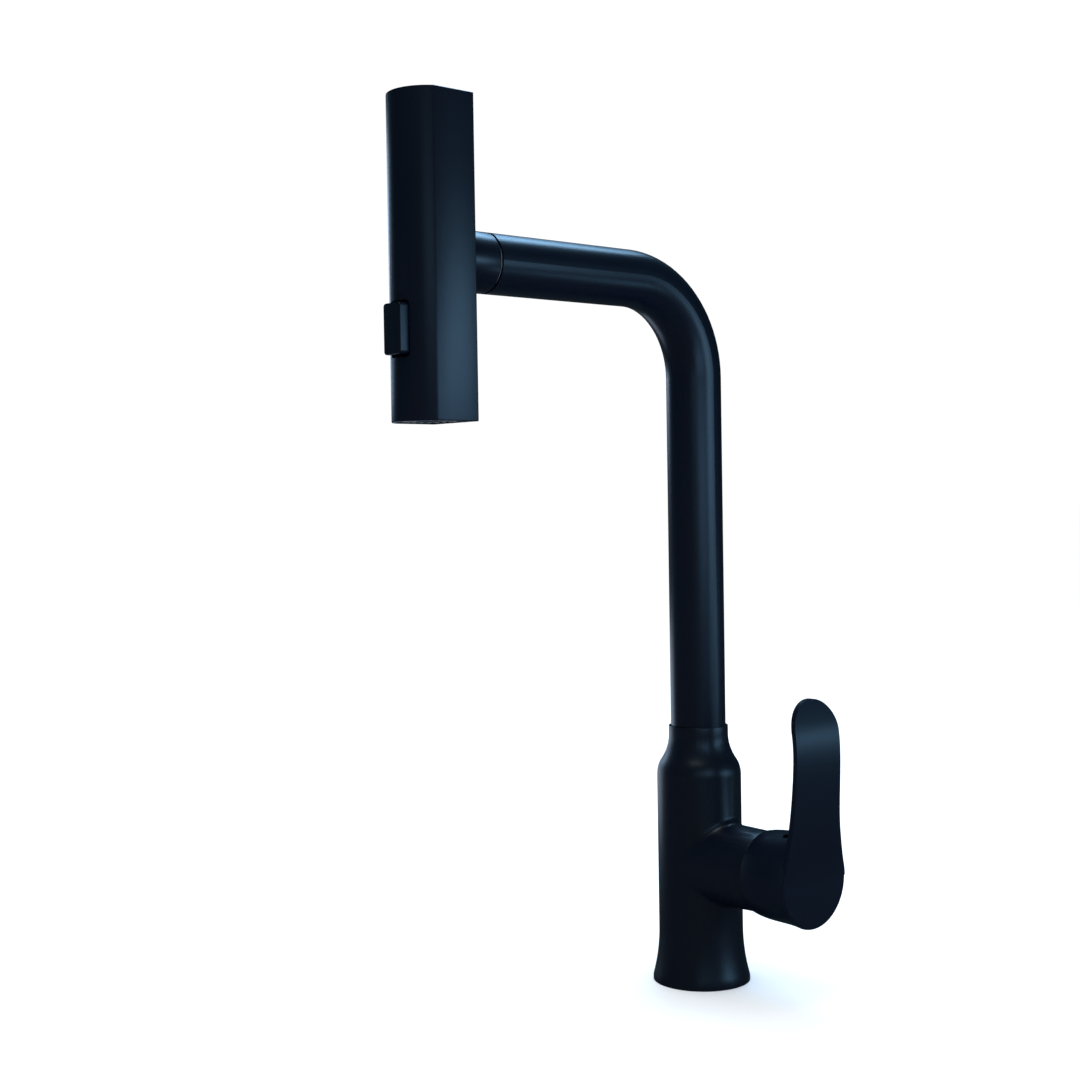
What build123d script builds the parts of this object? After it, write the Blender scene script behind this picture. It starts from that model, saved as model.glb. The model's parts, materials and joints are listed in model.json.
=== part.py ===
from build123d import *
import os
from math import cos, radians, sin, sqrt

# A single-lever kitchen mixer with a swivelling spout and a pull-out spray head.
# Millimetres. +Z is up, the spout points along -Y and the lever side is +X.
# The origin is on the body's axis, on the deck that the base stands on.

# ---------------------------------------------------------------- driving dimensions

# Body
BASE_R = 24.8
BASE_LIP = 2.2
FLARE_TOP = 27.0
BODY_R = 21.5
SHOULDER_Z = 106.0
SHOULDER_ANGLE = 34.0
SHOULDER_R = 14.0
COLLAR_R = 15.15
BODY_TOP = 131.0

# Side boss and cartridge, on an axis along +X
BOSS_Z = 62.0
BOSS_ROOT_R = 21.2
BOSS_END_R = 20.0
BOSS_END = 45.5
BOSS_FILLET = 4.0
CHAMBER_FLOOR = 14.0
CHAMBER_R = 17.6
SEAL_GROOVE = (22.6, 19.6)
SEAL_DEPTH = 2.0
PORT_R = 4.5
PORT_DEPTH = 14.0
PORT_BORE_R = 2.8

# Cartridge
CARTRIDGE_R = 17.4
SEAT_THICKNESS = 5.0
SEAT_SEAL_R = 5.0
SEAT_SEAL_DEPTH = 1.5
SEAT_BORE_R = 3.2
DISC_R = 13.0
DISC_THICKNESS = 3.5
DISC_PORT_R = 2.6
HOLDER_R = 12.95
HOLDER_NECK_R = 11.5
HOLDER_START = 30.6
HOLDER_STEP = 36.3
HOLDER_END = 42.5
LIP_START = 36.4
LIP_R = 11.6
SLIDER_R = 9.5
PIVOT_X = 40.0
PIN_R = 1.5
LIFT_ANGLE = 25.0
TAIL_LENGTH = 12.0
BALL_R = 2.2
STEM_WIDTH = 7.0
STEM_HEIGHT = 8.0
STEM_BACK = 4.0
STEM_LENGTH = 34.0
NUT_START = 37.5
NUT_THICKNESS = 4.5
NUT_MOUTH = 27.2

# Spout tube
TUBE_R = 14.0
TUBE_WALL = 1.2
BEND_R = 47.5
ARM_Z = 356.2
ARM_END = 136.6
TUBE_FOOT = 100.0
SWIVEL_FLOOR = 83.0
SWIVEL_BORE_R = 14.06
FOOT_R = 13.4
FOOT_BORE_R = 9.5
BUSH_INNER_R = 12.4
LOWER_BUSH = (86.0, 90.0)
UPPER_BUSH = (95.6, 99.0)
GRUB_GROOVE = (91.4, 94.6)
GRUB_GROOVE_R = 11.9
FOOT_TOP = 112.0
GRUB_Z = 93.0
GRUB_R = 2.5
GUIDE_START = 118.0

# Hose inside the spout, and its way down through the body
HOSE_R = 6.3
HOSE_BORE_R = 4.2
HOSE_OFFSET = 8.5
HOSE_SWIVEL_Z = 92.0
HOSE_STRAIGHT_Z = 48.0
HOSE_ARM_JOINT = 52.0
HOSE_END = 128.0
HOSE_TAIL_BORE_R = 3.2
CHANNEL_R = 6.5

# Shank and deck fixings
SHANK_R = 17.0
SHANK_BORE_R = 15.0
SHANK_TOP = 20.0
SHANK_BOTTOM = -60.0
DECK = 30.0
WASHER_R = 27.0
WASHER_BORE_R = 17.2
RUBBER_WASHER = 3.0
STEEL_WASHER = 2.0
SHANK_NUT_FLATS = 46.0
SHANK_NUT_HEIGHT = 9.0

# Lever
HUB_START = 46.4
HUB_END = 75.6
HUB_BORE_R = 20.35
HUB_FACE_R = 22.9
LEVER_TOP_Z = 134.2
LEVER_TOP_R = 16.0
SOCKET_START = 21.3
SOCKET_END = 30.0
SOCKET_R = 7.2
SET_SCREW_X = 64.0
SET_SCREW_TURN = 15.0
SET_SCREW_R = 2.5

# Spray head
HEAD_BACK = 154.4
HEAD_SIDE = 21.8
HEAD_WIDTH = 32.8
FRONT_R = 18.55
HEAD_BOTTOM = 283.0
HEAD_TOP = 428.2
HEAD_WALL = 2.0
NECK_START = 137.5
SPIGOT_START = 121.0
SPIGOT_R = 11.2
NECK_THREAD_R = 10.5
NIPPLE_START = 132.5
NIPPLE_R = 8.0
NIPPLE_END = 162.0
VALVE_R = 5.4
RISER_Y = -169.5
RISER_R = 7.5
RISER_BORE_R = 5.0
CUP_BOTTOM = 288.4
CUP_TOP = 299.8
MAT_Z = 286.8
FACE_Z = 283.8
FACE_THICKNESS = 3.0
NOZZLE_RING_R = 11.6
NOZZLES = 20
NOZZLE_R = 0.85
JET_R = 0.35
AERATOR_R = 8.2
AERATOR_BORE_R = 6.6
BUTTON_HALF_X = 6.2
BUTTON_HALF_Z = 11.3
BUTTON_DEPTH = 6.4
ROCKER_Z = 323.6
ROCKER_PIVOT_Y = -179.6
ROCKER_FRONT_Y = -189.4
ROCKER_PIN_R = 1.0
ROCKER_BALL_R = 1.5
SPOOL_LENGTH = 18.0
SPOOL_GROOVES = (2.0, 14.0)
SPOOL_GROOVE_R = 3.9
SPOOL_GROOVE = 2.0

# General fits
RUNNING = 0.05
HEX_KEY_HALF = 1.25
HEX_KEY_DEPTH = 3.0

# ---------------------------------------------------------------- derived places

FRONT_CENTRE_Y = -HEAD_BACK - HEAD_SIDE + sqrt(FRONT_R**2 - (HEAD_WIDTH / 2) ** 2)
HEAD_FRONT_Y = FRONT_CENTRE_Y - FRONT_R
COLUMN_TOP = ARM_Z - BEND_R
REST_TILT = radians(LIFT_ANGLE / 2)
DISC_DROP = TAIL_LENGTH * sin(REST_TILT)
ROCKER_ARM = RISER_Y - ROCKER_PIVOT_Y
BOSS_AXIS = Axis((0, 0, BOSS_Z), (1, 0, 0))
PORTS = [(1.6, 9.3), (1.6, -9.3), (9.2, 0.0)]
SEAT_PORTS = [(7.5, 3.0), (-7.5, 3.0), (0.0, -8.5)]


# ---------------------------------------------------------------- helpers


def up(z, x=0.0, y=0.0):
    """A plane that faces up at height z."""
    return Plane(origin=(x, y, z), x_dir=(1, 0, 0), z_dir=(0, 0, 1))


def side(x, y=0.0, dz=0.0):
    """A plane that faces +X on the boss axis. Its own x is Y and its own y is Z."""
    return Plane(origin=(x, y, BOSS_Z + dz), x_dir=(0, 1, 0), z_dir=(1, 0, 0))


def arm(distance, x=0.0, dz=0.0):
    """A plane that faces the spout's front, so many millimetres out along the arm."""
    return Plane(origin=(x, -distance, ARM_Z + dz), x_dir=(1, 0, 0), z_dir=(0, -1, 0))


def rod(plane, radius, length, mode=Mode.ADD):
    """A round length that starts on a plane."""
    with BuildSketch(plane) as profile:
        Circle(radius)
    extrude(profile.sketch, amount=length, mode=mode)


def ring(plane, outer, inner, length):
    """A round length with a hole, starting on a plane."""
    with BuildSketch(plane) as profile:
        Circle(outer)
        Circle(inner, mode=Mode.SUBTRACT)
    extrude(profile.sketch, amount=length)


def hexagon_ring(plane, flats, inner, length):
    """A nut, starting on a plane, with the width across its flats."""
    with BuildSketch(plane) as profile:
        RegularPolygon(radius=flats / 2, side_count=6, major_radius=False)
        Circle(inner, mode=Mode.SUBTRACT)
    extrude(profile.sketch, amount=length)


def hexagon_socket(plane):
    """A hexagon key socket sunk into the face that a plane stands on."""
    with BuildSketch(plane) as profile:
        RegularPolygon(radius=HEX_KEY_HALF, side_count=6, major_radius=False)
    extrude(profile.sketch, amount=-HEX_KEY_DEPTH, mode=Mode.SUBTRACT)


def drill(start, end, radius):
    """Cut a round passage from one point to another."""
    way = Vector(*end) - Vector(*start)
    rod(Plane(origin=start, z_dir=way), radius, way.length, Mode.SUBTRACT)


def head_section(plane, inset=0.0):
    """The head's section on a level plane: flat back, flat sides and a shallow round front."""
    half = HEAD_WIDTH / 2 - inset
    back = -HEAD_BACK - inset
    arc_r = FRONT_R - inset
    crease = FRONT_CENTRE_Y - sqrt(arc_r**2 - half**2)
    with BuildSketch(plane) as section:
        with BuildLine():
            Polyline((half, crease), (half, back), (-half, back), (-half, crease))
            ThreePointArc((-half, crease), (0, FRONT_CENTRE_Y - arc_r), (half, crease))
        make_face()
    return section.sketch


# ---------------------------------------------------------------- body and deck fixings

with BuildPart() as faucet_body:
    # Revolved column: base lip, flare, straight body, shoulder and collar.
    turn = radians(SHOULDER_ANGLE)
    shoulder = (BODY_R - SHOULDER_R * (1 - cos(turn)), SHOULDER_Z + SHOULDER_R * sin(turn))
    neck_r = (shoulder[0] - COLLAR_R) / (1 - cos(turn))
    collar_foot = (COLLAR_R, shoulder[1] + neck_r * sin(turn))
    with BuildSketch(Plane.XZ):
        with BuildLine():
            Polyline((0, 0), (BASE_R, 0), (BASE_R, BASE_LIP))
            TangentArc((BODY_R, FLARE_TOP), (BASE_R, BASE_LIP), tangent=(0, -1))
            Line((BODY_R, FLARE_TOP), (BODY_R, SHOULDER_Z))
            TangentArc((BODY_R, SHOULDER_Z), shoulder, tangent=(0, 1))
            TangentArc(shoulder, collar_foot, tangent=(-sin(turn), cos(turn)))
            Polyline(collar_foot, (COLLAR_R, BODY_TOP), (0, BODY_TOP), (0, 0))
        make_face()
    revolve(axis=Axis.Z)
    # Side boss that holds the cartridge.
    with BuildSketch(Plane.XZ):
        Polygon(
            (0, BOSS_Z),
            (BOSS_END, BOSS_Z),
            (BOSS_END, BOSS_Z + BOSS_END_R),
            (0, BOSS_Z + BOSS_ROOT_R),
            align=None,
        )
    revolve(axis=BOSS_AXIS)
    seam = [
        e
        for e in faucet_body.edges()
        if 1 < e.center().X < 20 and abs(e.center().Z - BOSS_Z) < 2
    ]
    fillet(seam, radius=BOSS_FILLET)
    # Swivel bore, hose channel, shank thread and cartridge chamber.
    rod(up(SWIVEL_FLOOR), SWIVEL_BORE_R, BODY_TOP - SWIVEL_FLOOR, Mode.SUBTRACT)
    with BuildSketch(up(HOSE_STRAIGHT_Z, -HOSE_OFFSET / 2)):
        SlotCenterToCenter(HOSE_OFFSET, CHANNEL_R * 2)
    extrude(amount=SWIVEL_FLOOR - HOSE_STRAIGHT_Z, mode=Mode.SUBTRACT)
    rod(up(SHANK_TOP, -HOSE_OFFSET), CHANNEL_R, HOSE_STRAIGHT_Z - SHANK_TOP, Mode.SUBTRACT)
    rod(up(0), SHANK_R, SHANK_TOP, Mode.SUBTRACT)
    rod(side(CHAMBER_FLOOR), CHAMBER_R, BOSS_END - CHAMBER_FLOOR, Mode.SUBTRACT)
    # Threaded ports in the underside, each drilled on to its port in the cartridge seat.
    for (port_x, port_y), (seat_y, seat_dz) in zip(PORTS, SEAT_PORTS):
        rod(up(SHANK_TOP, port_x, port_y), PORT_R, PORT_DEPTH, Mode.SUBTRACT)
        port_end = (port_x, port_y, SHANK_TOP + PORT_DEPTH - 1)
        drill(port_end, (CHAMBER_FLOOR + 1, seat_y, BOSS_Z + seat_dz), PORT_BORE_R)
    # Groove for the base seal, and the tapped hole for the spout's grub screw.
    with BuildSketch(up(0)):
        Circle(SEAL_GROOVE[0])
        Circle(SEAL_GROOVE[1], mode=Mode.SUBTRACT)
    extrude(amount=SEAL_DEPTH, mode=Mode.SUBTRACT)
    drill((0, GRUB_GROOVE_R, GRUB_Z), (0, BODY_R + 1, GRUB_Z), GRUB_R)

with BuildPart() as base_seal:
    ring(up(0), *SEAL_GROOVE, SEAL_DEPTH)

with BuildPart() as mounting_shank:
    ring(up(SHANK_BOTTOM), SHANK_R, SHANK_BORE_R, SHANK_TOP - SHANK_BOTTOM)

with BuildPart() as deck_seal_washer:
    ring(up(-DECK), WASHER_R, WASHER_BORE_R, -RUBBER_WASHER)

with BuildPart() as deck_steel_washer:
    ring(up(-DECK - RUBBER_WASHER), WASHER_R, WASHER_BORE_R, -STEEL_WASHER)

with BuildPart() as shank_nut:
    nut_plane = up(-DECK - RUBBER_WASHER - STEEL_WASHER)
    hexagon_ring(nut_plane, SHANK_NUT_FLATS, SHANK_R, -SHANK_NUT_HEIGHT)

with BuildPart() as thrust_washer:
    ring(up(SWIVEL_FLOOR), TUBE_R, 9, 2 - RUNNING)

with BuildPart() as spout_grub_screw:
    # A pointed screw from behind, with a hexagon socket, runs in the spout foot's groove.
    screw_plane = Plane(origin=(0, 14.4, GRUB_Z), x_dir=(1, 0, 0), z_dir=(0, 1, 0))
    rod(screw_plane, GRUB_R, 6.4)
    rod(screw_plane, GRUB_R / 2, -1.8)
    hexagon_socket(screw_plane.offset(6.4))

# ---------------------------------------------------------------- hose, in three runs


def hose_section(plane):
    """The hose's ring section on a plane, for a sweep."""
    with BuildSketch(plane) as section:
        Circle(HOSE_R)
        Circle(HOSE_BORE_R, mode=Mode.SUBTRACT)
    return section.sketch


with BuildPart() as hose_in_body:
    # From the swivel the hose steps sideways to its channel, and leaves through the shank.
    half_step = (HOSE_SWIVEL_Z - HOSE_STRAIGHT_Z) / 2
    middle = (-HOSE_OFFSET / 2, 0, HOSE_SWIVEL_Z - half_step)
    with BuildLine() as body_route:
        first_bend = TangentArc((0, 0, HOSE_SWIVEL_Z), middle, tangent=(0, 0, -1))
        TangentArc(middle, (-HOSE_OFFSET, 0, HOSE_STRAIGHT_Z), tangent=first_bend % 1)
        Line((-HOSE_OFFSET, 0, HOSE_STRAIGHT_Z), (-HOSE_OFFSET, 0, SHANK_BOTTOM))
    sweep(hose_section(Plane(origin=(0, 0, HOSE_SWIVEL_Z), z_dir=(0, 0, -1))))

with BuildPart() as hose_in_spout:
    with BuildLine() as spout_route:
        Line((0, 0, HOSE_SWIVEL_Z), (0, 0, COLUMN_TOP))
        TangentArc((0, 0, COLUMN_TOP), (0, -BEND_R, ARM_Z), tangent=(0, 0, 1))
        Line((0, -BEND_R, ARM_Z), (0, -HOSE_ARM_JOINT, ARM_Z))
    sweep(hose_section(up(HOSE_SWIVEL_Z)))

with BuildPart() as hose_in_arm:
    ring(arm(HOSE_ARM_JOINT), HOSE_R, HOSE_BORE_R, HOSE_END - HOSE_ARM_JOINT)

with BuildPart() as hose_foot_ferrule:
    # Crimped sleeve and threaded end, just below the shank.
    foot = up(SHANK_BOTTOM - 14, -HOSE_OFFSET)
    ring(foot, HOSE_BORE_R, HOSE_TAIL_BORE_R, 14)
    ring(foot, 5.0, HOSE_TAIL_BORE_R, 6)
    hexagon_ring(foot.offset(6), 13, HOSE_TAIL_BORE_R, 3)
    ring(foot.offset(9), HOSE_R, HOSE_TAIL_BORE_R, 5)

# ---------------------------------------------------------------- spout

with BuildPart() as spout_tube:
    with BuildLine() as tube_route:
        Line((0, 0, TUBE_FOOT), (0, 0, COLUMN_TOP))
        TangentArc((0, 0, COLUMN_TOP), (0, -BEND_R, ARM_Z), tangent=(0, 0, 1))
        Line((0, -BEND_R, ARM_Z), (0, -ARM_END, ARM_Z))
    with BuildSketch(up(TUBE_FOOT)):
        Circle(TUBE_R)
        Circle(TUBE_R - TUBE_WALL, mode=Mode.SUBTRACT)
    sweep()

with BuildPart() as spout_foot:
    # Brass foot brazed into the tube, with grooves for two bushes and for the grub screw.
    foot_bottom = SWIVEL_FLOOR + 2
    step_r = FOOT_R + 0.5
    with BuildSketch(Plane.XZ):
        Polygon(
            (FOOT_BORE_R, foot_bottom),
            (FOOT_R, foot_bottom),
            (FOOT_R, LOWER_BUSH[0]),
            (BUSH_INNER_R, LOWER_BUSH[0]),
            (BUSH_INNER_R, LOWER_BUSH[1]),
            (FOOT_R, LOWER_BUSH[1]),
            (FOOT_R, GRUB_GROOVE[0]),
            (GRUB_GROOVE_R, GRUB_GROOVE[0]),
            (GRUB_GROOVE_R, GRUB_GROOVE[1]),
            (FOOT_R, GRUB_GROOVE[1]),
            (FOOT_R, UPPER_BUSH[0]),
            (BUSH_INNER_R, UPPER_BUSH[0]),
            (BUSH_INNER_R, UPPER_BUSH[1]),
            (step_r, UPPER_BUSH[1]),
            (step_r, TUBE_FOOT),
            (TUBE_R - TUBE_WALL, TUBE_FOOT),
            (TUBE_R - TUBE_WALL, FOOT_TOP),
            (FOOT_BORE_R, FOOT_TOP),
            align=None,
        )
    revolve(axis=Axis.Z)

with BuildPart() as lower_swivel_bush:
    ring(up(LOWER_BUSH[0]), TUBE_R, BUSH_INNER_R, LOWER_BUSH[1] - LOWER_BUSH[0])

with BuildPart() as upper_swivel_bush:
    ring(up(UPPER_BUSH[0]), TUBE_R, BUSH_INNER_R, UPPER_BUSH[1] - UPPER_BUSH[0])

with BuildPart() as dock_guide:
    # Plastic guide in the arm's end that the head's spigot slides out of.
    ring(arm(GUIDE_START), TUBE_R - TUBE_WALL, SPIGOT_R + RUNNING, ARM_END - GUIDE_START)

# ---------------------------------------------------------------- cartridge

with BuildPart() as cartridge_base:
    rod(side(CHAMBER_FLOOR), CARTRIDGE_R, SEAT_THICKNESS)
    for seat_y, seat_dz in SEAT_PORTS:
        seat = side(CHAMBER_FLOOR, seat_y, seat_dz)
        rod(seat, SEAT_SEAL_R, SEAT_SEAL_DEPTH, Mode.SUBTRACT)
        rod(seat, SEAT_BORE_R, SEAT_THICKNESS, Mode.SUBTRACT)

with BuildPart() as cartridge_seals:
    for seat_y, seat_dz in SEAT_PORTS:
        ring(side(CHAMBER_FLOOR, seat_y, seat_dz), SEAT_SEAL_R, SEAT_BORE_R, SEAT_SEAL_DEPTH)

with BuildPart() as fixed_ceramic_disc:
    fixed_start = CHAMBER_FLOOR + SEAT_THICKNESS
    rod(side(fixed_start), DISC_R, DISC_THICKNESS)
    for seat_y, seat_dz in SEAT_PORTS:
        port = side(fixed_start, seat_y * 0.8, seat_dz * 0.8)
        rod(port, DISC_PORT_R, DISC_THICKNESS, Mode.SUBTRACT)

with BuildPart() as cartridge_housing:
    # Shell with an inner lip that keeps the stem holder in.
    ring(side(fixed_start), CARTRIDGE_R, DISC_R, LIP_START - fixed_start)
    ring(side(LIP_START), CARTRIDGE_R, LIP_R, NUT_START - LIP_START)

with BuildPart() as moving_ceramic_disc:
    # A mixing chamber faces the fixed disc, and a shallow recess clears the stem's ball.
    slider_start = fixed_start + DISC_THICKNESS + RUNNING
    slider_plane = side(slider_start, 0, -DISC_DROP)
    carrier_plane = slider_plane.offset(DISC_THICKNESS - RUNNING)
    rod(slider_plane, SLIDER_R, DISC_THICKNESS - RUNNING)
    with BuildSketch(side(slider_start, 0, 1.5 - DISC_DROP)):
        SlotOverall(10, 5)
    extrude(amount=2, mode=Mode.SUBTRACT)
    rod(carrier_plane, BALL_R + 0.3, -0.6, Mode.SUBTRACT)

with BuildPart() as disc_carrier:
    rod(carrier_plane, SLIDER_R, 4)
    rod(carrier_plane, BALL_R + 0.15, 4, Mode.SUBTRACT)

with BuildPart() as stem_holder:
    rod(side(HOLDER_START), HOLDER_R, HOLDER_STEP - HOLDER_START)
    rod(side(HOLDER_STEP), HOLDER_NECK_R, HOLDER_END - HOLDER_STEP)
    with BuildSketch(side(HOLDER_START)):
        Rectangle(STEM_WIDTH + 0.4, 14.4)
    extrude(amount=HOLDER_END - HOLDER_START, mode=Mode.SUBTRACT)
    drill((PIVOT_X, -HOLDER_R, BOSS_Z), (PIVOT_X, HOLDER_R, BOSS_Z), PIN_R)
    with BuildSketch(side(32)):
        Circle(HOLDER_R + 0.5)
        Circle(11.3, mode=Mode.SUBTRACT)
    extrude(amount=2, mode=Mode.SUBTRACT)

with BuildPart() as stem_holder_seal:
    ring(side(32), DISC_R - 0.1, 11.3, 2)

with BuildPart() as stem_pivot_pin:
    pin_plane = Plane(origin=(PIVOT_X, -10.5, BOSS_Z), x_dir=(1, 0, 0), z_dir=(0, 1, 0))
    rod(pin_plane, PIN_R, 21)

with BuildPart() as cartridge_stem:
    # Square stem, drawn along its own tilted axis, with a ball tail that shifts the disc.
    stem_way = Vector(cos(REST_TILT), 0, sin(REST_TILT))
    pivot = Vector(PIVOT_X, 0, BOSS_Z)
    ball_centre = pivot - stem_way * TAIL_LENGTH
    with BuildSketch(Plane(origin=pivot - stem_way * STEM_BACK, x_dir=(0, 1, 0), z_dir=stem_way)):
        Rectangle(STEM_WIDTH, STEM_HEIGHT)
    extrude(amount=STEM_LENGTH)
    rod(Plane(origin=ball_centre, z_dir=stem_way), 1.6, 10)
    with BuildSketch(Plane(origin=ball_centre, x_dir=stem_way, z_dir=(0, 1, 0))):
        with BuildLine():
            ThreePointArc((-BALL_R, 0), (0, BALL_R), (BALL_R, 0))
            Line((BALL_R, 0), (-BALL_R, 0))
        make_face()
    revolve(axis=Axis(ball_centre, stem_way))
    drill((PIVOT_X, -5, BOSS_Z), (PIVOT_X, 5, BOSS_Z), PIN_R + RUNNING)

with BuildPart() as cartridge_nut:
    # Ring nut with a hexagon mouth, screwed into the chamber.
    with BuildSketch(side(NUT_START)):
        Circle(CHAMBER_R)
        RegularPolygon(NUT_MOUTH / 2, side_count=6, major_radius=False, mode=Mode.SUBTRACT)
    extrude(amount=NUT_THICKNESS)

with BuildPart() as dome_cover:
    # Ball-shaped cover centred on the lift pivot, with a skirt that clips into the chamber.
    dome_r = BOSS_END_R - 0.2
    dome_wall = 1.4
    mouth_r = 11.0
    skirt_r = CHAMBER_R - dome_wall
    skirt_x = NUT_START + NUT_THICKNESS
    foot_r = sqrt(dome_r**2 - (BOSS_END - PIVOT_X) ** 2)
    inner_r = dome_r - dome_wall
    mouth_out = PIVOT_X + sqrt(dome_r**2 - mouth_r**2)
    mouth_in = PIVOT_X + sqrt(inner_r**2 - mouth_r**2)
    middle_turn = radians(38)
    with BuildSketch(Plane.XZ):
        with BuildLine():
            ThreePointArc(
                (BOSS_END, BOSS_Z + foot_r),
                (PIVOT_X + dome_r * sin(middle_turn), BOSS_Z + dome_r * cos(middle_turn)),
                (mouth_out, BOSS_Z + mouth_r),
            )
            Line((mouth_out, BOSS_Z + mouth_r), (mouth_in, BOSS_Z + mouth_r))
            ThreePointArc(
                (mouth_in, BOSS_Z + mouth_r),
                (PIVOT_X + inner_r * sin(middle_turn), BOSS_Z + inner_r * cos(middle_turn)),
                (PIVOT_X + sqrt(inner_r**2 - skirt_r**2), BOSS_Z + skirt_r),
            )
            Polyline(
                (PIVOT_X + sqrt(inner_r**2 - skirt_r**2), BOSS_Z + skirt_r),
                (skirt_x, BOSS_Z + skirt_r),
                (skirt_x, BOSS_Z + CHAMBER_R),
                (BOSS_END, BOSS_Z + CHAMBER_R),
                (BOSS_END, BOSS_Z + foot_r),
            )
        make_face()
    revolve(axis=BOSS_AXIS)

# ---------------------------------------------------------------- lever

with BuildPart() as lever_handle:
    # Paddle: its outline seen from the side, cut to its thickness profile.
    with BuildSketch(side(58)):
        with BuildLine():
            shoulder_z = LEVER_TOP_Z - BOSS_Z
            ThreePointArc(
                (-LEVER_TOP_R, shoulder_z),
                (0, shoulder_z + LEVER_TOP_R),
                (LEVER_TOP_R, shoulder_z),
            )
            waist = [(16.15, 56), (16.75, 38), (17.7, 26), (19.5, 16), (21.4, 8)]
            outline = [(LEVER_TOP_R, shoulder_z), *waist, (HUB_FACE_R, 0)]
            Spline(*outline, tangents=[(0, -1), (0, -1)])
            Line((HUB_FACE_R, 0), (-HUB_FACE_R, 0))
            Spline(*[(-y, z) for y, z in reversed(outline)], tangents=[(0, 1), (0, 1)])
        make_face()
    extrude(amount=24)
    with BuildSketch(Plane.XZ):
        with BuildLine():
            # The face leans out to its thumb rest and curls back at the tip.
            Spline(
                (HUB_END, BOSS_Z - 1),
                (76.7, 80),
                (78.05, 100),
                (79.2, 122),
                (78.4, 135),
                (76.05, 145),
                (74.3, 151.5),
                tangents=[(0, 1), (-0.25, 1)],
            )
            Line((74.3, 151.5), (71.9, 150.9))
            Spline(
                (71.9, 150.9),
                (73.7, 144.2),
                (76.0, 134.6),
                (76.8, 122),
                (75.65, 100),
                (74.4, 86),
                tangents=[(0.25, -1), (-0.1, -1)],
            )
            Polyline((74.4, 86), (72.5, BOSS_Z - 1), (HUB_END, BOSS_Z - 1))
        make_face()
    extrude(amount=30, both=True, mode=Mode.INTERSECT)
    # Hub: a cup that flares to its rounded flat end and covers the dome.
    with BuildSketch(Plane.XZ):
        with BuildLine():
            hub_edge = 1.2
            Spline(
                (HUB_START, BOSS_Z + 20.9),
                (49.5, BOSS_Z + 21.5),
                (60, BOSS_Z + 22.2),
                (HUB_END - hub_edge, BOSS_Z + HUB_FACE_R + 0.2),
            )
            RadiusArc(
                (HUB_END - hub_edge, BOSS_Z + HUB_FACE_R + 0.2),
                (HUB_END, BOSS_Z + HUB_FACE_R + 0.2 - hub_edge),
                hub_edge,
            )
            Polyline(
                (HUB_END, BOSS_Z + HUB_FACE_R + 0.2 - hub_edge),
                (HUB_END, BOSS_Z),
                (70, BOSS_Z),
                (70, BOSS_Z + 18.5),
                (62, BOSS_Z + HUB_BORE_R),
                (HUB_START, BOSS_Z + HUB_BORE_R),
                (HUB_START, BOSS_Z + 20.9),
            )
        make_face()
    revolve(axis=BOSS_AXIS)
    # Socket for the stem, on the stem's own tilted axis, and a tapped boss up to the hub's wall.
    socket = Plane(origin=pivot + stem_way * SOCKET_START, x_dir=(0, 1, 0), z_dir=stem_way)
    rod(socket, SOCKET_R, 10.5)
    turn = radians(SET_SCREW_TURN)
    screw_way = Vector(0, -sin(turn), cos(turn))
    screw_foot = Plane(origin=Vector(SET_SCREW_X, 0, BOSS_Z) + screw_way * 9.4, z_dir=screw_way)
    rod(screw_foot, 4.2, 12.2)
    with BuildSketch(socket):
        Rectangle(STEM_WIDTH, STEM_HEIGHT)
    extrude(amount=SOCKET_END - SOCKET_START, mode=Mode.SUBTRACT)
    rod(screw_foot, SET_SCREW_R, 20, Mode.SUBTRACT)

with BuildPart() as lever_set_screw:
    rod(screw_foot.offset(1), SET_SCREW_R, 8)
    hexagon_socket(screw_foot.offset(9))

# ---------------------------------------------------------------- spray head casing

with BuildPart() as head_shell:
    head_height = HEAD_TOP - HEAD_BOTTOM
    extrude(head_section(up(HEAD_BOTTOM)), amount=head_height)
    fillet(head_shell.edges().filter_by(Axis.Z).group_by(Axis.Y)[-1], radius=0.5)
    chamfer(head_shell.faces().sort_by(Axis.Z)[0].edges(), length=0.25)
    chamfer(head_shell.faces().sort_by(Axis.Z)[-1].edges(), length=0.25)
    extrude(head_section(up(HEAD_BOTTOM), HEAD_WALL), amount=head_height, mode=Mode.SUBTRACT)
    rod(arm(HEAD_BACK - 1), NECK_THREAD_R, HEAD_WALL + 2, Mode.SUBTRACT)
    window = Plane(origin=(0, HEAD_FRONT_Y - 2, ROCKER_Z), x_dir=(1, 0, 0), z_dir=(0, 1, 0))
    with BuildSketch(window):
        RectangleRounded(2 * BUTTON_HALF_X + 0.8, 2 * BUTTON_HALF_Z + 1.9, 2.0)
    extrude(amount=6, mode=Mode.SUBTRACT)

with BuildPart() as head_top_cap:
    lid = 2.6
    rim = 3.4
    rim_plane = up(HEAD_TOP - lid - rim)
    extrude(head_section(up(HEAD_TOP - lid), HEAD_WALL), amount=lid)
    chamfer(head_top_cap.faces().sort_by(Axis.Z)[-1].edges(), length=0.3)
    extrude(head_section(rim_plane, HEAD_WALL), amount=rim)
    extrude(head_section(rim_plane, HEAD_WALL + 1.5), amount=rim, mode=Mode.SUBTRACT)

with BuildPart() as neck_collar:
    # Black collar between arm and head. Its spigot docks in the arm, its thread holds the shell.
    rod(arm(NECK_START), TUBE_R, HEAD_BACK - NECK_START)
    chamfer(neck_collar.faces().sort_by(Axis.Y)[-1].edges(), length=0.4)
    rod(arm(SPIGOT_START), SPIGOT_R, NECK_START - SPIGOT_START)
    rod(arm(HEAD_BACK), NECK_THREAD_R, 5.6)
    rod(arm(SPIGOT_START), 10.0, 20, Mode.SUBTRACT)
    rod(arm(SPIGOT_START + 20), NIPPLE_R, 20, Mode.SUBTRACT)

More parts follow.
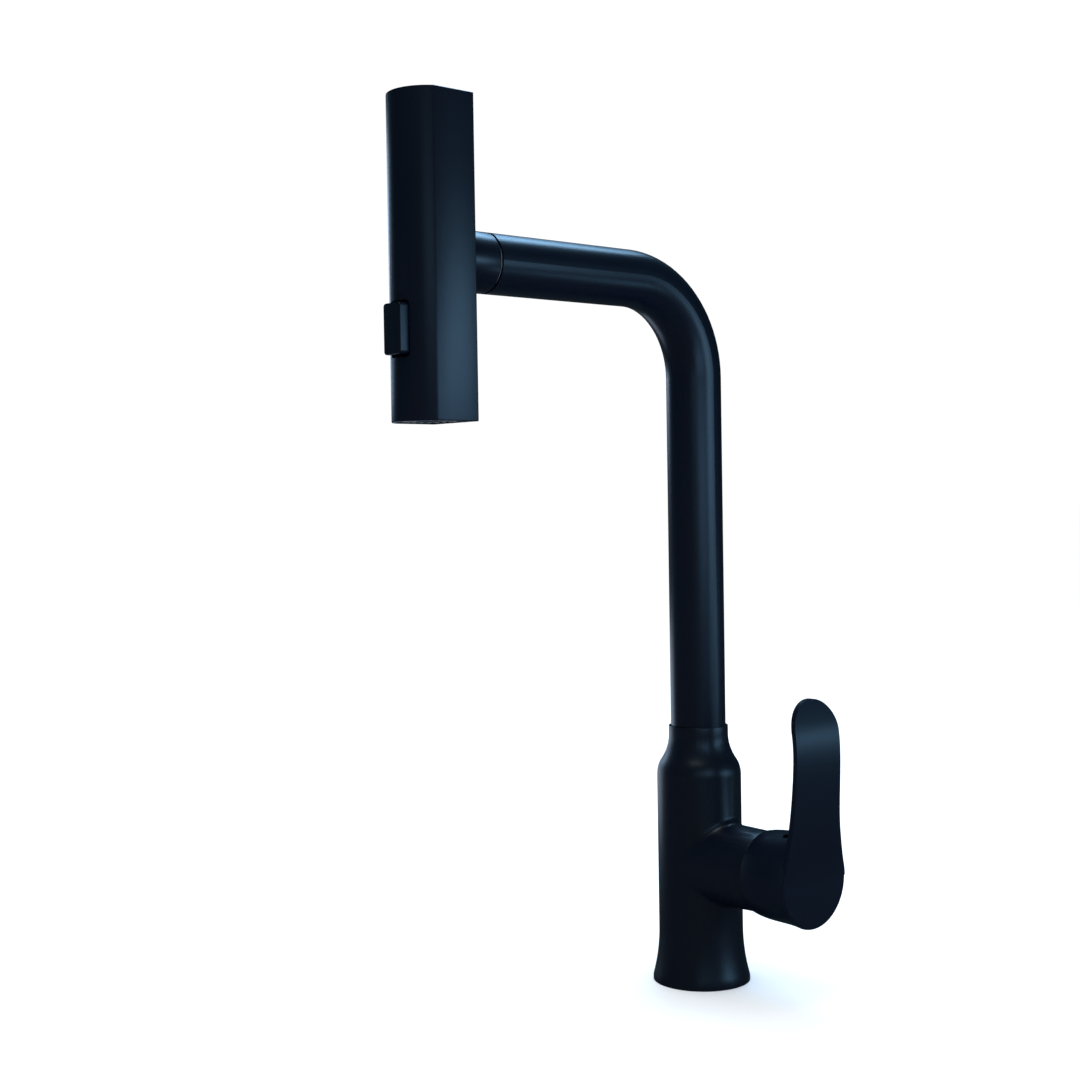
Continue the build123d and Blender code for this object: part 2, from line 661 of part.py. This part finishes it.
with BuildPart() as neck_lock_nut:
    ring(arm(HEAD_BACK + HEAD_WALL), 13.2, NECK_THREAD_R, 3.6)

# ---------------------------------------------------------------- spray head water path

with BuildPart() as inlet_nipple:
    # Threaded tube from the hose nut to the riser, with a pocket for the check valve.
    rod(arm(NIPPLE_START), NIPPLE_R, NIPPLE_END - NIPPLE_START)
    rod(arm(NIPPLE_START), VALVE_R, 12, Mode.SUBTRACT)
    rod(arm(NIPPLE_START), 4.0, NIPPLE_END - NIPPLE_START, Mode.SUBTRACT)

with BuildPart() as check_valve:
    ring(arm(NIPPLE_START + 0.5), VALVE_R, 3.6, 10)
    rod(arm(NIPPLE_START + 4.5), 3.6, 2)

with BuildPart() as hose_washer:
    ring(arm(NIPPLE_START - 1), 7.8, 3.6, 1)

with BuildPart() as hose_tail:
    # Brass tail with a flange for the swivel nut, pushed into the hose.
    ring(arm(112), HOSE_BORE_R, HOSE_TAIL_BORE_R, 18)
    ring(arm(130), 7.8, HOSE_TAIL_BORE_R, 1.5)

with BuildPart() as hose_crimp_sleeve:
    ring(arm(112), 7.2, HOSE_R, HOSE_END - 112)

with BuildPart() as hose_swivel_nut:
    ring(arm(124), 9.7, 7.4, 6)
    ring(arm(130), 9.7, NIPPLE_R, 10)

with BuildPart() as water_riser:
    # One moulding: inlet boss, riser and the cup over the nozzle plate.
    rod(up(CUP_TOP - 2, 0, RISER_Y), RISER_R, 67)
    rod(arm(NIPPLE_END - 2), 9.0, 9)
    extrude(head_section(up(CUP_BOTTOM), HEAD_WALL + 0.2), amount=CUP_TOP - CUP_BOTTOM)
    rod(arm(NIPPLE_END - 2), NIPPLE_R, 2, Mode.SUBTRACT)
    rod(arm(NIPPLE_END - 1), 4.0, 8.5, Mode.SUBTRACT)
    rod(up(CUP_TOP - 5, 0, RISER_Y), RISER_BORE_R, 67, Mode.SUBTRACT)
    rod(up(CUP_BOTTOM, 0, RISER_Y), AERATOR_R, 7, Mode.SUBTRACT)
    with BuildSketch(up(CUP_BOTTOM, 0, RISER_Y)):
        Circle(12.8)
        Circle(9.6, mode=Mode.SUBTRACT)
    extrude(amount=6, mode=Mode.SUBTRACT)
    # Window for the rocker's arm.
    arm_window = Plane(origin=(0, RISER_Y - 9, ROCKER_Z), x_dir=(1, 0, 0), z_dir=(0, 1, 0))
    with BuildSketch(arm_window):
        Rectangle(4.4, 6.4)
    extrude(amount=8, mode=Mode.SUBTRACT)

with BuildPart() as spray_nozzle_mat:
    # Silicone mat with a nub for each jet.
    nub_plane = up(HEAD_BOTTOM + 0.3, 0, RISER_Y)
    ring(up(MAT_Z, 0, RISER_Y), 13.0, AERATOR_R + 0.2, CUP_BOTTOM - MAT_Z)
    with BuildSketch(nub_plane):
        with PolarLocations(NOZZLE_RING_R, NOZZLES):
            Circle(NOZZLE_R)
    extrude(amount=MAT_Z - HEAD_BOTTOM)
    with BuildSketch(nub_plane):
        with PolarLocations(NOZZLE_RING_R, NOZZLES):
            Circle(JET_R)
    extrude(amount=CUP_BOTTOM - HEAD_BOTTOM, mode=Mode.SUBTRACT)

with BuildPart() as spray_face:
    extrude(head_section(up(FACE_Z), HEAD_WALL), amount=FACE_THICKNESS)
    rod(up(FACE_Z, 0, RISER_Y), AERATOR_R, FACE_THICKNESS, Mode.SUBTRACT)
    with BuildSketch(up(FACE_Z, 0, RISER_Y)):
        with PolarLocations(NOZZLE_RING_R, NOZZLES):
            Circle(NOZZLE_R)
    extrude(amount=FACE_THICKNESS, mode=Mode.SUBTRACT)

with BuildPart() as aerator_housing:
    ring(up(FACE_Z - 0.2, 0, RISER_Y), AERATOR_R, AERATOR_BORE_R, 8)

with BuildPart() as aerator_screen:
    # Honeycomb-like disc with round jets.
    screen_plane = up(FACE_Z + 0.4, 0, RISER_Y)
    rod(screen_plane, AERATOR_BORE_R, 2.4)
    with BuildSketch(screen_plane):
        with HexLocations(0.85, 7, 7):
            Circle(0.55)
    extrude(amount=2.4, mode=Mode.SUBTRACT)

# ---------------------------------------------------------------- spray selector

with BuildPart() as rocker_bracket:
    # Clamp round the riser with two ears for the rocker's pin.
    ring(up(ROCKER_Z - 5, 0, RISER_Y), 9.3, RISER_R, 10)
    for sign in (-1, 1):
        with BuildSketch(up(ROCKER_Z - 2.6, sign * 7.9, (ROCKER_PIVOT_Y + RISER_Y) / 2 - 0.9)):
            Rectangle(1.8, ROCKER_ARM + 1.8)
        extrude(amount=5.2)
    rod(up(ROCKER_Z - 5, 0, RISER_Y), RISER_R, 10, Mode.SUBTRACT)
    with BuildSketch(Plane(origin=(0, -172, ROCKER_Z), x_dir=(1, 0, 0), z_dir=(0, -1, 0))):
        Rectangle(11.0, 10.2)
    extrude(amount=9, mode=Mode.SUBTRACT)
    drill((-12, ROCKER_PIVOT_Y, ROCKER_Z), (12, ROCKER_PIVOT_Y, ROCKER_Z), ROCKER_PIN_R)

with BuildPart() as rocker_pin:
    rod(Plane(origin=(-8.8, ROCKER_PIVOT_Y, ROCKER_Z), z_dir=(1, 0, 0)), ROCKER_PIN_R, 17.6)

with BuildPart() as rocker_button:
    # Raised block outside, hub on the pin inside, and an arm with a ball that moves the spool.
    button_plane = Plane(origin=(0, ROCKER_FRONT_Y, ROCKER_Z), x_dir=(1, 0, 0), z_dir=(0, 1, 0))
    with BuildSketch(button_plane):
        RectangleRounded(2 * BUTTON_HALF_X, 2 * BUTTON_HALF_Z, 1.6)
    extrude(amount=BUTTON_DEPTH)
    fillet(rocker_button.faces().sort_by(Axis.Y)[0].edges(), radius=0.5)
    with BuildSketch(button_plane.offset(BUTTON_DEPTH)):
        Rectangle(8, 4.4)
    extrude(amount=3.4)
    rod(Plane(origin=(-4, ROCKER_PIVOT_Y, ROCKER_Z), z_dir=(1, 0, 0)), 2.2, 8)
    with BuildSketch(Plane(origin=(0, ROCKER_PIVOT_Y, ROCKER_Z), x_dir=(1, 0, 0), z_dir=(0, 1, 0))):
        Circle(1.0)
    extrude(amount=ROCKER_ARM)
    ball_plane = Plane(origin=(0, RISER_Y, ROCKER_Z), x_dir=(1, 0, 0), z_dir=(0, 0, 1))
    with BuildSketch(ball_plane):
        with BuildLine():
            ThreePointArc((-ROCKER_BALL_R, 0), (0, ROCKER_BALL_R), (ROCKER_BALL_R, 0))
            Line((ROCKER_BALL_R, 0), (-ROCKER_BALL_R, 0))
        make_face()
    revolve(axis=Axis((0, RISER_Y, ROCKER_Z), (1, 0, 0)))
    pin_way = ((-6, ROCKER_PIVOT_Y, ROCKER_Z), (6, ROCKER_PIVOT_Y, ROCKER_Z))
    drill(*pin_way, ROCKER_PIN_R + RUNNING)

with BuildPart() as diverter_spool:
    # Slides in the riser and sends the water to the aerator or to the jets.
    spool_foot = up(ROCKER_Z - SPOOL_LENGTH / 2, 0, RISER_Y)
    rod(spool_foot, RISER_BORE_R - RUNNING, SPOOL_LENGTH)
    for groove_z in SPOOL_GROOVES:
        with BuildSketch(spool_foot.offset(groove_z)):
            Circle(RISER_BORE_R)
            Circle(SPOOL_GROOVE_R, mode=Mode.SUBTRACT)
        extrude(amount=SPOOL_GROOVE, mode=Mode.SUBTRACT)
    # The ball's seat is open towards the rocker and a little wider than the ball.
    seat_plane = Plane(origin=(0, RISER_Y + 1.9, ROCKER_Z), x_dir=(1, 0, 0), z_dir=(0, -1, 0))
    rod(seat_plane, ROCKER_BALL_R + 0.1, 8, Mode.SUBTRACT)

with BuildPart() as spool_seals:
    for groove_z in SPOOL_GROOVES:
        ring(spool_foot.offset(groove_z), RISER_BORE_R - RUNNING, SPOOL_GROOVE_R, SPOOL_GROOVE)

# ---------------------------------------------------------------- write the pieces

pieces = {
    "faucet_body": faucet_body,
    "base_seal": base_seal,
    "mounting_shank": mounting_shank,
    "deck_seal_washer": deck_seal_washer,
    "deck_steel_washer": deck_steel_washer,
    "shank_nut": shank_nut,
    "thrust_washer": thrust_washer,
    "spout_grub_screw": spout_grub_screw,
    "hose_in_body": hose_in_body,
    "hose_foot_ferrule": hose_foot_ferrule,
    "hose_in_spout": hose_in_spout,
    "spout_tube": spout_tube,
    "spout_foot": spout_foot,
    "lower_swivel_bush": lower_swivel_bush,
    "upper_swivel_bush": upper_swivel_bush,
    "dock_guide": dock_guide,
    "cartridge_base": cartridge_base,
    "cartridge_seals": cartridge_seals,
    "fixed_ceramic_disc": fixed_ceramic_disc,
    "cartridge_housing": cartridge_housing,
    "moving_ceramic_disc": moving_ceramic_disc,
    "disc_carrier": disc_carrier,
    "stem_holder": stem_holder,
    "stem_holder_seal": stem_holder_seal,
    "stem_pivot_pin": stem_pivot_pin,
    "cartridge_stem": cartridge_stem,
    "cartridge_nut": cartridge_nut,
    "dome_cover": dome_cover,
    "lever_handle": lever_handle,
    "lever_set_screw": lever_set_screw,
    "head_shell": head_shell,
    "head_top_cap": head_top_cap,
    "neck_collar": neck_collar,
    "neck_lock_nut": neck_lock_nut,
    "inlet_nipple": inlet_nipple,
    "check_valve": check_valve,
    "hose_washer": hose_washer,
    "hose_tail": hose_tail,
    "hose_crimp_sleeve": hose_crimp_sleeve,
    "hose_swivel_nut": hose_swivel_nut,
    "hose_in_arm": hose_in_arm,
    "water_riser": water_riser,
    "spray_nozzle_mat": spray_nozzle_mat,
    "spray_face": spray_face,
    "aerator_housing": aerator_housing,
    "aerator_screen": aerator_screen,
    "rocker_bracket": rocker_bracket,
    "rocker_pin": rocker_pin,
    "rocker_button": rocker_button,
    "diverter_spool": diverter_spool,
    "spool_seals": spool_seals,
}

os.makedirs("parts", exist_ok=True)
for name, piece in pieces.items():
    piece.part.label = name
    export_step(piece.part, f"parts/{name}.step")
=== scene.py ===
import json
import math

import bpy
from mathutils import Matrix, Vector

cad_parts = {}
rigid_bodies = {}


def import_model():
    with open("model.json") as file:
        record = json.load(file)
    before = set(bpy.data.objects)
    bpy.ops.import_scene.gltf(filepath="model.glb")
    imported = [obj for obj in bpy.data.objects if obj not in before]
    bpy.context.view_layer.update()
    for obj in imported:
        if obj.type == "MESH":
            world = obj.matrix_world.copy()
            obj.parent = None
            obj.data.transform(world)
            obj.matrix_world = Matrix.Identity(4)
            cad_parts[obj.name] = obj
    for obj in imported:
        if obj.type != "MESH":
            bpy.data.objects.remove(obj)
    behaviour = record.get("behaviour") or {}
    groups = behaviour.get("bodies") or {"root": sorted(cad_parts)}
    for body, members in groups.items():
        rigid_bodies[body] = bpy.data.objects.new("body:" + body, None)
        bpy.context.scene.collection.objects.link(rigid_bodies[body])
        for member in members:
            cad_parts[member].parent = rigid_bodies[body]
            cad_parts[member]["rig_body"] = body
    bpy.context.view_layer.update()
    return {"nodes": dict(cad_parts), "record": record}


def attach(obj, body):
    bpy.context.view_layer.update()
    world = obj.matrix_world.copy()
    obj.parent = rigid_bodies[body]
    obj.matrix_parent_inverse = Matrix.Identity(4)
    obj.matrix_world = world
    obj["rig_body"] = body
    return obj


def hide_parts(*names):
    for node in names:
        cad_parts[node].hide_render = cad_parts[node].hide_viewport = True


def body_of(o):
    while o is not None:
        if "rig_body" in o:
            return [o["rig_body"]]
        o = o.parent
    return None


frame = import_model()
nodes = frame["nodes"]
slot_of = {part["node"]: part["material_slot"] for part in frame["record"]["subparts"]}

# ---------------------------------------------------------------- camera

EYE = (0.5907, -0.6181, 0.2476)
EYE_TURN = 49.058
EYE_PITCH = -1.372
EYE_ROLL = -0.934
LENS = 55.36
SENSOR = 36.0
NEAREST = 0.01


def make_camera():
    """A standing eye in front of the lever side, nearly level, with a slight roll."""
    turn, pitch, roll = (math.radians(angle) for angle in (EYE_TURN, EYE_PITCH, EYE_ROLL))
    flat = math.cos(pitch)
    forward = Vector((-math.sin(turn) * flat, math.cos(turn) * flat, math.sin(pitch)))
    level_right = Vector((math.cos(turn), math.sin(turn), 0))
    level_up = level_right.cross(forward)
    right = level_right * math.cos(roll) + level_up * math.sin(roll)
    up = level_up * math.cos(roll) - level_right * math.sin(roll)
    data = bpy.data.cameras.new("studio_camera")
    data.sensor_width = SENSOR
    data.lens = LENS
    data.clip_start = NEAREST
    camera = bpy.data.objects.new("studio_camera", data)
    facing = Matrix((right, up, -forward)).transposed().to_4x4()
    camera.matrix_world = Matrix.Translation(EYE) @ facing
    bpy.context.scene.collection.objects.link(camera)
    bpy.context.scene.camera = camera


make_camera()

# ---------------------------------------------------------------- materials

GRAIN_SHARE = 0.35
MOTTLE_DETAIL = 4.0
GRAIN_DETAIL = 2.0
GRAIN_DEPTH = 0.0002
COAT_DARK = (0.0001, 0.0016, 0.0078)
COAT_LIGHT = (0.0004, 0.0030, 0.0110)


def add_variation_group():
    """Soft mottling, fine grain and a matching bump height, from the object's own coordinates."""
    group = bpy.data.node_groups.new("surface_variation", "ShaderNodeTree")
    for name, kind, default in (
        ("Dark", "NodeSocketColor", (0, 0, 0, 1)),
        ("Light", "NodeSocketColor", (1, 1, 1, 1)),
        ("Mottle Scale", "NodeSocketFloat", 20.0),
        ("Grain Scale", "NodeSocketFloat", 2500.0),
        ("Smoothest", "NodeSocketFloat", 0.3),
        ("Roughest", "NodeSocketFloat", 0.45),
    ):
        socket = group.interface.new_socket(name=name, in_out="INPUT", socket_type=kind)
        socket.default_value = default
    for name, kind in (
        ("Color", "NodeSocketColor"),
        ("Roughness", "NodeSocketFloat"),
        ("Height", "NodeSocketFloat"),
    ):
        group.interface.new_socket(name=name, in_out="OUTPUT", socket_type=kind)
    add = group.nodes.new
    join = group.links.new
    entry = add("NodeGroupInput")
    leave = add("NodeGroupOutput")
    place = add("ShaderNodeTexCoord")
    mottle = add("ShaderNodeTexNoise")
    mottle.inputs["Detail"].default_value = MOTTLE_DETAIL
    grain = add("ShaderNodeTexNoise")
    grain.inputs["Detail"].default_value = GRAIN_DETAIL
    join(place.outputs["Object"], mottle.inputs["Vector"])
    join(place.outputs["Object"], grain.inputs["Vector"])
    join(entry.outputs["Mottle Scale"], mottle.inputs["Scale"])
    join(entry.outputs["Grain Scale"], grain.inputs["Scale"])
    mottle_part = add("ShaderNodeMath")
    mottle_part.operation = "MULTIPLY"
    mottle_part.inputs[1].default_value = 1 - GRAIN_SHARE
    join(mottle.outputs["Fac"], mottle_part.inputs[0])
    both = add("ShaderNodeMath")
    both.operation = "MULTIPLY_ADD"
    both.inputs[1].default_value = GRAIN_SHARE
    join(grain.outputs["Fac"], both.inputs[0])
    join(mottle_part.outputs[0], both.inputs[2])
    tone = add("ShaderNodeMix")
    tone.data_type = "RGBA"
    join(both.outputs[0], tone.inputs["Factor"])
    join(entry.outputs["Dark"], tone.inputs["A"])
    join(entry.outputs["Light"], tone.inputs["B"])
    rough = add("ShaderNodeMapRange")
    join(both.outputs[0], rough.inputs["Value"])
    join(entry.outputs["Smoothest"], rough.inputs["To Min"])
    join(entry.outputs["Roughest"], rough.inputs["To Max"])
    join(tone.outputs["Result"], leave.inputs["Color"])
    join(rough.outputs["Result"], leave.inputs["Roughness"])
    join(grain.outputs["Fac"], leave.inputs["Height"])
    return group


variation = add_variation_group()


def varied(name, dark, light, rough, mottle=20.0, grain=2500.0, bump=0.05, metallic=0.0):
    """A material whose colour, roughness and bump come from the shared variation group."""
    material = bpy.data.materials.new(name)
    material.use_nodes = True
    tree = material.node_tree
    shader = tree.nodes["Principled BSDF"]
    surface = tree.nodes.new("ShaderNodeGroup")
    surface.node_tree = variation
    surface.inputs["Dark"].default_value = (*dark, 1)
    surface.inputs["Light"].default_value = (*light, 1)
    surface.inputs["Mottle Scale"].default_value = mottle
    surface.inputs["Grain Scale"].default_value = grain
    surface.inputs["Smoothest"].default_value = rough[0]
    surface.inputs["Roughest"].default_value = rough[1]
    relief = tree.nodes.new("ShaderNodeBump")
    relief.inputs["Strength"].default_value = bump
    relief.inputs["Distance"].default_value = GRAIN_DEPTH
    tree.links.new(surface.outputs["Color"], shader.inputs["Base Color"])
    tree.links.new(surface.outputs["Roughness"], shader.inputs["Roughness"])
    tree.links.new(surface.outputs["Height"], relief.inputs["Height"])
    tree.links.new(relief.outputs["Normal"], shader.inputs["Normal"])
    shader.inputs["Metallic"].default_value = metallic
    return material


def satin_black():
    """The smooth satin coat of the drawn tube, the head and the lever."""
    return varied("satin_black_coat", COAT_DARK, COAT_LIGHT, (0.27, 0.37))


def cast_black():
    """The same coat on the cast body, a little rougher and grainier."""
    return varied("satin_black_casting", COAT_DARK, COAT_LIGHT, (0.30, 0.40), bump=0.08)


def black_plastic():
    """Moulded plastic of the button and the spray parts."""
    dark, light = (0.0002, 0.0018, 0.0080), (0.0006, 0.0034, 0.0115)
    return varied("matte_black_plastic", dark, light, (0.30, 0.42))


def brass():
    """Bare turned brass."""
    return varied("machined_brass", (0.50, 0.36, 0.15), (0.66, 0.50, 0.25), (0.25, 0.4), metallic=1.0)


def steel():
    """Bare stainless steel."""
    return varied("brushed_steel", (0.45, 0.45, 0.46), (0.62, 0.62, 0.63), (0.25, 0.4), metallic=1.0)


def rubber():
    """Black seals and washers."""
    return varied("black_rubber", (0.012, 0.012, 0.012), (0.03, 0.03, 0.03), (0.7, 0.85))


def silicone():
    """The soft grey nozzle mat."""
    return varied("grey_silicone", (0.09, 0.095, 0.1), (0.13, 0.135, 0.14), (0.5, 0.65))


def ceramic():
    """The lapped cartridge discs."""
    return varied("lapped_ceramic", (0.74, 0.72, 0.66), (0.86, 0.84, 0.79), (0.12, 0.2))


def acetal():
    """White bearing plastic."""
    return varied("white_acetal", (0.68, 0.68, 0.65), (0.80, 0.80, 0.77), (0.4, 0.5))


def braid():
    """The nylon cover of the hose."""
    return varied("woven_nylon", (0.02, 0.02, 0.022), (0.08, 0.08, 0.085), (0.6, 0.75))


finishes = {
    "black_metal": satin_black(),
    "black_plastic": black_plastic(),
    "brass": brass(),
    "steel": steel(),
    "rubber": rubber(),
    "silicone": silicone(),
    "ceramic": ceramic(),
    "white_plastic": acetal(),
    "hose_braid": braid(),
}
for node_name, node in nodes.items():
    node.data.materials.clear()
    node.data.materials.append(finishes[slot_of[node_name]])
nodes["faucet_body"].data.materials[0] = cast_black()

# ---------------------------------------------------------------- pieces with eased edges

SAME_POINT = 1e-6
FLAT_ENOUGH = math.radians(0.4)
SHARP_EDGE = math.radians(32)
EASING_STEPS = 3
EASED_PIECES = (
    ("head_shell", 0.0003),
    ("rocker_button", 0.0003),
    ("head_top_cap", 0.0003),
    ("neck_collar", 0.00025),
    ("faucet_body", 0.0002),
)


def ease_edges(node_name, width):
    """A copy of a CAD node with its sharp edges eased, which stands for the node."""
    node = nodes[node_name]
    mesh = node.data.copy()
    mesh.name = node_name + "_eased"
    piece = bpy.data.objects.new(node_name + "_eased", mesh)
    bpy.context.scene.collection.objects.link(piece)
    bpy.ops.object.select_all(action="DESELECT")
    piece.select_set(True)
    bpy.context.view_layer.objects.active = piece
    bpy.ops.object.mode_set(mode="EDIT")
    bpy.ops.mesh.select_all(action="SELECT")
    bpy.ops.mesh.remove_doubles(threshold=SAME_POINT)
    bpy.ops.mesh.dissolve_limited(angle_limit=FLAT_ENOUGH)
    bpy.ops.object.mode_set(mode="OBJECT")
    easing = piece.modifiers.new("easing", "BEVEL")
    easing.limit_method = "ANGLE"
    easing.angle_limit = SHARP_EDGE
    easing.width = width
    easing.segments = EASING_STEPS
    easing.use_clamp_overlap = False
    bpy.ops.object.modifier_apply(modifier=easing.name)
    bpy.ops.object.shade_smooth_by_angle(angle=SHARP_EDGE)
    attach(piece, body_of(node)[0])
    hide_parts(node_name)


for node_name, width in EASED_PIECES:
    ease_edges(node_name, width)

# ---------------------------------------------------------------- lights

ROOM_AIM = (0, -0.08, 0.25)
CEILING_AIM = (0, -0.05, 0.2)
ROOM_REACH = 2.0
CEILING_REACH = 1.4


def add_light(name, place, aim, size, power, colour):
    """A rectangular light at a place, facing a point."""
    light = bpy.data.lights.new(name, "AREA")
    light.shape = "RECTANGLE"
    light.size, light.size_y = size
    light.energy = power
    light.color = colour
    holder = bpy.data.objects.new(name, light)
    holder.location = place
    holder.rotation_euler = (Vector(place) - Vector(aim)).to_track_quat("Z", "Y").to_euler()
    bpy.context.scene.collection.objects.link(holder)
    return holder


def soft_box(name, azimuth, elevation, distance, aim, size, power, colour):
    """A light round the object. Azimuth is counted from +X towards +Y."""
    turn, rise = math.radians(azimuth), math.radians(elevation)
    way = Vector((math.cos(turn) * math.cos(rise), math.sin(turn) * math.cos(rise), math.sin(rise)))
    add_light(name, Vector(aim) + way * distance, aim, size, power, colour)


def near_panel(name, place, aim, size, power, colour):
    """A small light close to the object, which the camera doesn't see."""
    add_light(name, place, aim, size, power, colour).visible_camera = False


def light_the_room():
    """Cool side windows, a soft ceiling and three small glows."""
    room = (ROOM_REACH, ROOM_AIM)
    ceiling = (CEILING_REACH, CEILING_AIM)
    soft_box("front_left_room", -40, 11, *room, (0.9, 0.5), 1.1, (0.35, 0.7, 1.0))
    soft_box("back_left_room", 172, 11, *room, (0.9, 0.5), 4.5, (0.5, 0.7, 1.0))
    soft_box("right_window", 25, 3.2, *room, (0.95, 0.42), 6.0, (0.32, 0.65, 1.0))
    soft_box("overhead", -60, 70, *ceiling, (0.5, 0.5), 3.0, (0.8, 0.95, 1.0))
    soft_box("sky_behind", 120, 60, *ceiling, (0.6, 0.6), 11.0, (0.35, 0.65, 1.0))
    foot, lever, arm = (0, 0, 0.08), (0.079, 0, 0.15), (0.02, -0.1, 0.27)
    near_panel("low_left_glow", (-0.40, 0.03, 0.08), foot, (0.3, 0.14), 0.2, (0.6, 0.75, 1.0))
    near_panel("paddle_glow", (0.40, 0.38, 0.13), lever, (0.16, 0.08), 0.12, (0.3, 0.65, 1.0))
    near_panel("head_front_glow", (0.50, -0.14, 0.27), arm, (0.3, 0.14), 0.3, (0.3, 0.6, 1.0))


light_the_room()

# ---------------------------------------------------------------- floor and world

FLOOR_SIZE = 60
WHITE_STRENGTH = 1.03
GLOSS_STRENGTH = 0.028
FLOOR_GLOSS_STRENGTH = 0.05


def choose_for_glossy_rays(tree, usual, reflected, target):
    """One shader for most rays and another for what glossy surfaces reflect."""
    path = tree.nodes.new("ShaderNodeLightPath")
    choose = tree.nodes.new("ShaderNodeMixShader")
    tree.links.new(path.outputs["Is Glossy Ray"], choose.inputs[0])
    tree.links.new(usual.outputs[0], choose.inputs[1])
    tree.links.new(reflected.outputs[0], choose.inputs[2])
    tree.links.new(choose.outputs[0], target.inputs["Surface"])


def pale_floor():
    """A matt near-white floor, dim in reflections."""
    material = varied("pale_floor", (0.96, 0.96, 0.96), (0.99, 0.99, 0.99), (0.7, 0.9), mottle=2.0)
    tree = material.node_tree
    shader = tree.nodes["Principled BSDF"]
    shader.inputs["Specular IOR Level"].default_value = 0
    glow = tree.nodes.new("ShaderNodeEmission")
    glow.inputs["Color"].default_value = (0.55, 0.8, 1.0, 1)
    glow.inputs["Strength"].default_value = FLOOR_GLOSS_STRENGTH
    choose_for_glossy_rays(tree, shader, glow, tree.nodes["Material Output"])
    return material


def make_floor():
    """The floor at deck height."""
    bpy.ops.object.select_all(action="DESELECT")
    bpy.ops.mesh.primitive_plane_add(size=FLOOR_SIZE, location=(0, 0, 0))
    floor = bpy.context.object
    floor.name = "studio_floor"
    floor.data.materials.append(pale_floor())


make_floor()


def make_world():
    """A white room, which the coat reflects only as a dim cool glow."""
    world = bpy.data.worlds.new("studio_world")
    bpy.context.scene.world = world
    world.use_nodes = True
    world.cycles.sampling_method = "NONE"
    tree = world.node_tree
    white = tree.nodes["Background"]
    white.inputs["Color"].default_value = (1, 1, 1, 1)
    white.inputs["Strength"].default_value = WHITE_STRENGTH
    dim = tree.nodes.new("ShaderNodeBackground")
    dim.inputs["Color"].default_value = (0.30, 0.85, 1.0, 1)
    dim.inputs["Strength"].default_value = GLOSS_STRENGTH
    choose_for_glossy_rays(tree, white, dim, tree.nodes["World Output"])


make_world()
bpy.context.scene.view_settings.view_transform = "Standard"
